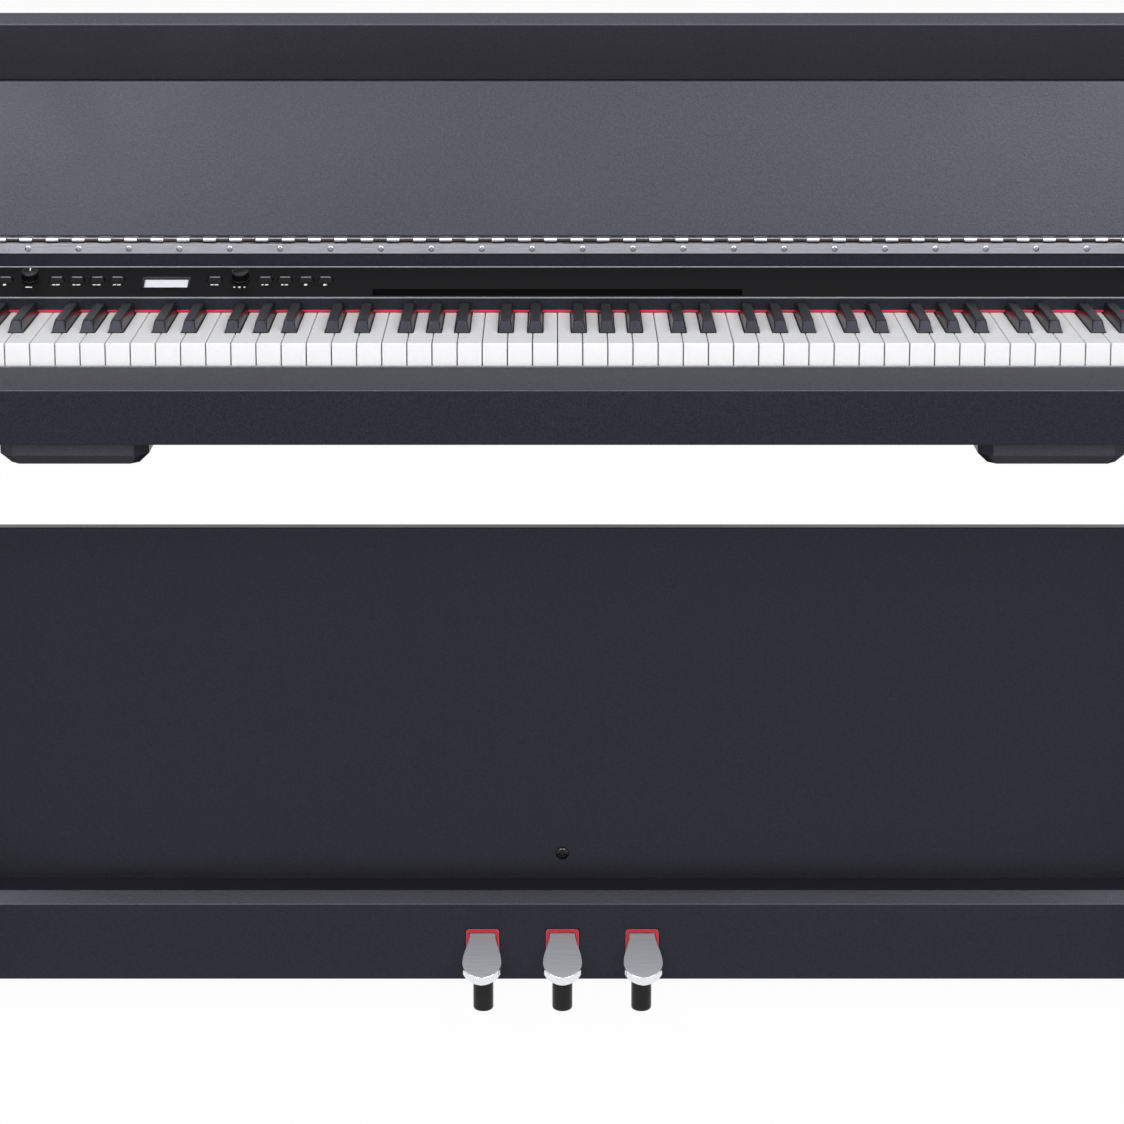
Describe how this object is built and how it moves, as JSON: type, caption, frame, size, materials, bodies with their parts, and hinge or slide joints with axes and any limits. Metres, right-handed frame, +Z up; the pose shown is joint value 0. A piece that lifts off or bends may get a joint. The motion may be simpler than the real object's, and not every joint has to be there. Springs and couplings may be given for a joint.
{
  "type": "digital piano on stand",
  "caption": "Slim home digital piano on a furniture stand with side panels and pedal box; full weighted keyboard, folding lid on a long hinge, sloping control panel, pedals.",
  "frame": {"origin": "on the floor, under the middle of the bounding box", "axes": "+X to the player's right, +Y to the back, +Z up"},
  "size_m": [1.36, 0.38, 1.0562],
  "materials": {
    "painted_board": "grey-black vinyl-foil laminate over wood board, fine grain, satin",
    "panel_plastic": "black moulded plastic, fine texture",
    "white_key_plastic": "white moulded key plastic",
    "black_key_plastic": "black matt key plastic",
    "red_felt": "crimson wool felt",
    "pedal_metal": "satin-plated steel",
    "plated_steel": "nickel-plated steel",
    "black_steel": "nickel-plated screw heads",
    "frame_steel": "galvanised and painted sheet steel",
    "foot_plastic": "black moulded plastic",
    "glide_rubber": "black rubber",
    "circuit": "green solder-mask circuit board",
    "display_glass": "lit white liquid-crystal window",
    "driver": "black pressed-steel loudspeaker basket"
  },
  "bodies": {
    "cabinet": {"side_panel_left": "painted_board", "side_panel_right": "painted_board", "rear_board": "painted_board", "pedal_box": "painted_board", "pedal_chassis": "frame_steel", "support_feet": "foot_plastic", "floor_glides": "glide_rubber", "pedal_bushes": "red_felt", "pedal_pivot_rod": "plated_steel", "pedal_springs": "plated_steel", "bottom_board": "painted_board", "front_rail": "painted_board", "cheek_blocks": "painted_board", "top_board": "painted_board", "back_panel": "painted_board", "control_panel": "panel_plastic", "felt_strips": "red_felt", "key_frame": "frame_steel", "key_pivot_rod": "plated_steel", "circuit_boards": "circuit", "display": "display_glass", "body_hinge_leaf": "plated_steel", "hinge_pin": "plated_steel", "screws": "black_steel", "speaker_pods": "painted_board", "speakers": "driver"},
    "lid": {"lid_panel": "painted_board", "lid_flap": "painted_board", "lid_hinge_leaf": "plated_steel"},
    "pedal_left": {"pedal_left": "pedal_metal"},
    "pedal_middle": {"pedal_middle": "pedal_metal"},
    "pedal_right": {"pedal_right": "pedal_metal"},
    "key_c4": {"key_c4": "white_key_plastic"},
    "key_cs4": {"key_cs4": "black_key_plastic"},
    "key_d4": {"key_d4": "white_key_plastic"},
    "key_ds4": {"key_ds4": "black_key_plastic"},
    "key_e4": {"key_e4": "white_key_plastic"},
    "key_f4": {"key_f4": "white_key_plastic"},
    "key_fs4": {"key_fs4": "black_key_plastic"},
    "key_g4": {"key_g4": "white_key_plastic"},
    "key_gs4": {"key_gs4": "black_key_plastic"},
    "key_a4": {"key_a4": "white_key_plastic"},
    "key_as4": {"key_as4": "black_key_plastic"},
    "key_b4": {"key_b4": "white_key_plastic"},
    "white_keys_low": {"white_keys_low": "white_key_plastic"},
    "black_keys_low": {"black_keys_low": "black_key_plastic"},
    "white_keys_high": {"white_keys_high": "white_key_plastic"},
    "black_keys_high": {"black_keys_high": "black_key_plastic"},
    "button_power": {"button_power": "panel_plastic"},
    "button_function_1": {"button_function_1": "panel_plastic"},
    "button_function_2": {"button_function_2": "panel_plastic"},
    "button_function_3": {"button_function_3": "panel_plastic"},
    "button_function_4": {"button_function_4": "panel_plastic"},
    "button_menu": {"button_menu": "panel_plastic"},
    "button_part_1": {"button_part_1": "panel_plastic"},
    "button_part_2": {"button_part_2": "panel_plastic"},
    "button_record": {"button_record": "panel_plastic"},
    "button_play": {"button_play": "panel_plastic"},
    "volume_knob": {"volume_knob": "panel_plastic"},
    "select_knob": {"select_knob": "panel_plastic"}
  },
  "joints": [
    {"name": "lid_hinge", "type": "hinge", "parent": "cabinet", "child": "lid", "pos_m": [0, 0.051, 0.8305], "axis": [1, 0, 0], "range_deg": [0, 100]},
    {"name": "pedal_left_press", "type": "hinge", "parent": "cabinet", "child": "pedal_left", "pos_m": [-0.0834, 0.106, 0.0875], "axis": [1, 0, 0], "range_deg": [0, 9], "stiffness_Nm_per_rad": 3, "springref_deg": -28.65},
    {"name": "pedal_middle_press", "type": "hinge", "parent": "cabinet", "child": "pedal_middle", "pos_m": [0, 0.106, 0.0875], "axis": [1, 0, 0], "range_deg": [0, 9], "stiffness_Nm_per_rad": 3, "springref_deg": -28.65},
    {"name": "pedal_right_press", "type": "hinge", "parent": "cabinet", "child": "pedal_right", "pos_m": [0.0834, 0.106, 0.0875], "axis": [1, 0, 0], "range_deg": [0, 9], "stiffness_Nm_per_rad": 3, "springref_deg": -28.65},
    {"name": "key_c4_press", "type": "hinge", "parent": "cabinet", "child": "key_c4", "pos_m": [0, 0.06, 0.756], "axis": [1, 0, 0], "range_deg": [0, 2.6], "stiffness_Nm_per_rad": 0.6, "springref_deg": -20.05},
    {"name": "key_cs4_press", "type": "hinge", "parent": "cabinet", "child": "key_cs4", "pos_m": [0, 0.06, 0.756], "axis": [1, 0, 0], "range_deg": [0, 2.6], "stiffness_Nm_per_rad": 0.6, "springref_deg": -20.05},
    {"name": "key_d4_press", "type": "hinge", "parent": "cabinet", "child": "key_d4", "pos_m": [0, 0.06, 0.756], "axis": [1, 0, 0], "range_deg": [0, 2.6], "stiffness_Nm_per_rad": 0.6, "springref_deg": -20.05},
    {"name": "key_ds4_press", "type": "hinge", "parent": "cabinet", "child": "key_ds4", "pos_m": [0, 0.06, 0.756], "axis": [1, 0, 0], "range_deg": [0, 2.6], "stiffness_Nm_per_rad": 0.6, "springref_deg": -20.05},
    {"name": "key_e4_press", "type": "hinge", "parent": "cabinet", "child": "key_e4", "pos_m": [0, 0.06, 0.756], "axis": [1, 0, 0], "range_deg": [0, 2.6], "stiffness_Nm_per_rad": 0.6, "springref_deg": -20.05},
    {"name": "key_f4_press", "type": "hinge", "parent": "cabinet", "child": "key_f4", "pos_m": [0, 0.06, 0.756], "axis": [1, 0, 0], "range_deg": [0, 2.6], "stiffness_Nm_per_rad": 0.6, "springref_deg": -20.05},
    {"name": "key_fs4_press", "type": "hinge", "parent": "cabinet", "child": "key_fs4", "pos_m": [0, 0.06, 0.756], "axis": [1, 0, 0], "range_deg": [0, 2.6], "stiffness_Nm_per_rad": 0.6, "springref_deg": -20.05},
    {"name": "key_g4_press", "type": "hinge", "parent": "cabinet", "child": "key_g4", "pos_m": [0, 0.06, 0.756], "axis": [1, 0, 0], "range_deg": [0, 2.6], "stiffness_Nm_per_rad": 0.6, "springref_deg": -20.05},
    {"name": "key_gs4_press", "type": "hinge", "parent": "cabinet", "child": "key_gs4", "pos_m": [0, 0.06, 0.756], "axis": [1, 0, 0], "range_deg": [0, 2.6], "stiffness_Nm_per_rad": 0.6, "springref_deg": -20.05},
    {"name": "key_a4_press", "type": "hinge", "parent": "cabinet", "child": "key_a4", "pos_m": [0, 0.06, 0.756], "axis": [1, 0, 0], "range_deg": [0, 2.6], "stiffness_Nm_per_rad": 0.6, "springref_deg": -20.05},
    {"name": "key_as4_press", "type": "hinge", "parent": "cabinet", "child": "key_as4", "pos_m": [0, 0.06, 0.756], "axis": [1, 0, 0], "range_deg": [0, 2.6], "stiffness_Nm_per_rad": 0.6, "springref_deg": -20.05},
    {"name": "key_b4_press", "type": "hinge", "parent": "cabinet", "child": "key_b4", "pos_m": [0, 0.06, 0.756], "axis": [1, 0, 0], "range_deg": [0, 2.6], "stiffness_Nm_per_rad": 0.6, "springref_deg": -20.05},
    {"name": "white_keys_low_press", "type": "hinge", "parent": "cabinet", "child": "white_keys_low", "pos_m": [0, 0.06, 0.756], "axis": [1, 0, 0], "range_deg": [0, 2.6], "stiffness_Nm_per_rad": 13.8, "springref_deg": -20.05},
    {"name": "black_keys_low_press", "type": "hinge", "parent": "cabinet", "child": "black_keys_low", "pos_m": [0, 0.06, 0.756], "axis": [1, 0, 0], "range_deg": [0, 2.6], "stiffness_Nm_per_rad": 9.6, "springref_deg": -20.05},
    {"name": "white_keys_high_press", "type": "hinge", "parent": "cabinet", "child": "white_keys_high", "pos_m": [0, 0.06, 0.756], "axis": [1, 0, 0], "range_deg": [0, 2.6], "stiffness_Nm_per_rad": 13.2, "springref_deg": -20.05},
    {"name": "black_keys_high_press", "type": "hinge", "parent": "cabinet", "child": "black_keys_high", "pos_m": [0, 0.06, 0.756], "axis": [1, 0, 0], "range_deg": [0, 2.6], "stiffness_Nm_per_rad": 9, "springref_deg": -20.05},
    {"name": "button_power_press", "type": "slide", "parent": "cabinet", "child": "button_power", "axis": [0, 0.3458, -0.9383], "range_m": [0, 0.0012], "stiffness_N_per_m": 400, "springref_m": -0.002},
    {"name": "button_function_1_press", "type": "slide", "parent": "cabinet", "child": "button_function_1", "axis": [0, 0.3458, -0.9383], "range_m": [0, 0.0012], "stiffness_N_per_m": 400, "springref_m": -0.002},
    {"name": "button_function_2_press", "type": "slide", "parent": "cabinet", "child": "button_function_2", "axis": [0, 0.3458, -0.9383], "range_m": [0, 0.0012], "stiffness_N_per_m": 400, "springref_m": -0.002},
    {"name": "button_function_3_press", "type": "slide", "parent": "cabinet", "child": "button_function_3", "axis": [0, 0.3458, -0.9383], "range_m": [0, 0.0012], "stiffness_N_per_m": 400, "springref_m": -0.002},
    {"name": "button_function_4_press", "type": "slide", "parent": "cabinet", "child": "button_function_4", "axis": [0, 0.3458, -0.9383], "range_m": [0, 0.0012], "stiffness_N_per_m": 400, "springref_m": -0.002},
    {"name": "button_menu_press", "type": "slide", "parent": "cabinet", "child": "button_menu", "axis": [0, 0.3458, -0.9383], "range_m": [0, 0.0012], "stiffness_N_per_m": 400, "springref_m": -0.002},
    {"name": "button_part_1_press", "type": "slide", "parent": "cabinet", "child": "button_part_1", "axis": [0, 0.3458, -0.9383], "range_m": [0, 0.0012], "stiffness_N_per_m": 400, "springref_m": -0.002},
    {"name": "button_part_2_press", "type": "slide", "parent": "cabinet", "child": "button_part_2", "axis": [0, 0.3458, -0.9383], "range_m": [0, 0.0012], "stiffness_N_per_m": 400, "springref_m": -0.002},
    {"name": "button_record_press", "type": "slide", "parent": "cabinet", "child": "button_record", "axis": [0, 0.3458, -0.9383], "range_m": [0, 0.0012], "stiffness_N_per_m": 400, "springref_m": -0.002},
    {"name": "button_play_press", "type": "slide", "parent": "cabinet", "child": "button_play", "axis": [0, 0.3458, -0.9383], "range_m": [0, 0.0012], "stiffness_N_per_m": 400, "springref_m": -0.002},
    {"name": "volume_turn", "type": "hinge", "parent": "cabinet", "child": "volume_knob", "pos_m": [-0.525, 0.0255, 0.79464], "axis": [0, -0.3458, 0.9383], "range_deg": [-150, 150]},
    {"name": "select_turn", "type": "hinge", "parent": "cabinet", "child": "select_knob", "pos_m": [-0.318, 0.0255, 0.79464], "axis": [0, -0.3458, 0.9383], "continuous": true}
  ]
}
